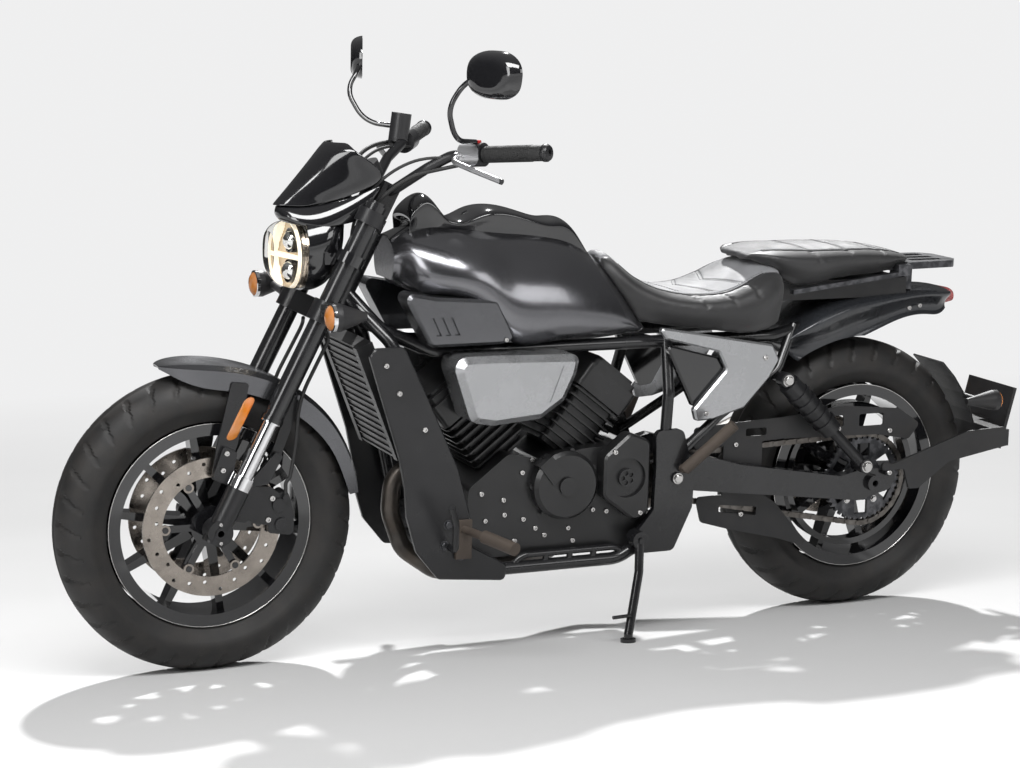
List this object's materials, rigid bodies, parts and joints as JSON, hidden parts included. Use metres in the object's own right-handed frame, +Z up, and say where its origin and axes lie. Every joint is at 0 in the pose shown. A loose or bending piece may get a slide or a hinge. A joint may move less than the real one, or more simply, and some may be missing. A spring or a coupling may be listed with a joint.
{
  "type": "cruiser motorcycle",
  "caption": "Low cruiser motorcycle leaning on its side stand, with turning wheels, turning front fork and a folding stand.",
  "frame": {"origin": "centre of the whole object's box on the floor", "axes": "+X ahead, +Y to the rider's left, +Z up from the floor; the bike leans 6.5 degrees towards +Y"},
  "size_m": [2.3037, 0.9114, 1.3501],
  "materials": {
    "black_metal": "satin",
    "cable": "matt",
    "chain_steel": "oiled",
    "disc_steel": "ground",
    "engine_black": "powder coat",
    "gloss_black": "gloss",
    "graphite": "satin metallic",
    "grip_rubber": "matt",
    "lamp_glass": "clear",
    "plastic": "matt",
    "rubber": "matt, dusty",
    "seat_grey": "grained",
    "silver": "satin metallic"
  },
  "bodies": {
    "frame": {"brake_pedal": "black_metal", "chain_guards": "plastic", "crankcase": "engine_black", "drive_chain": "chain_steel", "drive_sprocket": "chain_steel", "engine_covers": "engine_black", "exhaust": "black_metal", "footrests": "black_metal", "frame_covers": "plastic", "front_cylinder": "engine_black", "fuel_tank": "graphite", "gear_lever": "black_metal", "intake_covers": "silver", "luggage_rack": "black_metal", "main_frame": "black_metal", "passenger_seat": "seat_grey", "plate_holder": "plastic", "radiator": "engine_black", "rear_caliper": "black_metal", "rear_cylinder": "engine_black", "rear_shocks": "black_metal", "rear_signals": "plastic", "rider_seat": "seat_grey", "seat_base": "plastic", "side_covers": "silver", "side_panels": "plastic", "swingarm": "black_metal", "tail_fairing": "plastic", "tail_lamp": "plastic", "tank_console": "gloss_black", "tank_scoops": "plastic"},
    "steering": {"fork_clamps": "black_metal", "fork_tubes": "black_metal", "fork_sliders": "black_metal", "handlebar": "black_metal", "grips": "grip_rubber", "hand_controls": "plastic", "mirrors": "gloss_black", "headlamp_shell": "gloss_black", "headlamp_lens": "lamp_glass", "flyscreen": "gloss_black", "gauge": "plastic", "front_signals": "plastic", "front_fender": "graphite", "front_calipers": "black_metal", "brake_hoses": "cable"},
    "front_wheel": {"front_tyre": "rubber", "front_rim": "black_metal", "front_discs": "disc_steel"},
    "rear_wheel": {"rear_tyre": "rubber", "rear_rim": "black_metal", "rear_disc": "disc_steel", "rear_sprocket": "chain_steel"},
    "side_stand": {"side_stand": "black_metal"}
  },
  "joints": [
    {"name": "steering_turn", "type": "hinge", "parent": "frame", "child": "steering", "pos_m": [0.51622, -0.04061, 0.82569], "axis": [-0.454, 0.1009, 0.8853], "range_deg": [-32, 32]},
    {"name": "front_wheel_spin", "type": "hinge", "parent": "steering", "child": "front_wheel", "pos_m": [0.83316, -0.09856, 0.31708], "axis": [0, 0.9936, -0.1132], "continuous": true},
    {"name": "rear_wheel_spin", "type": "hinge", "parent": "frame", "child": "rear_wheel", "pos_m": [-0.72484, -0.09854, 0.31724], "axis": [0, 0.9936, -0.1132], "continuous": true},
    {"name": "side_stand_fold", "type": "hinge", "parent": "frame", "child": "side_stand", "pos_m": [-0.10884, 0.0594, 0.21944], "axis": [0, 0.9936, -0.1132], "range_deg": [0, 98]}
  ]
}
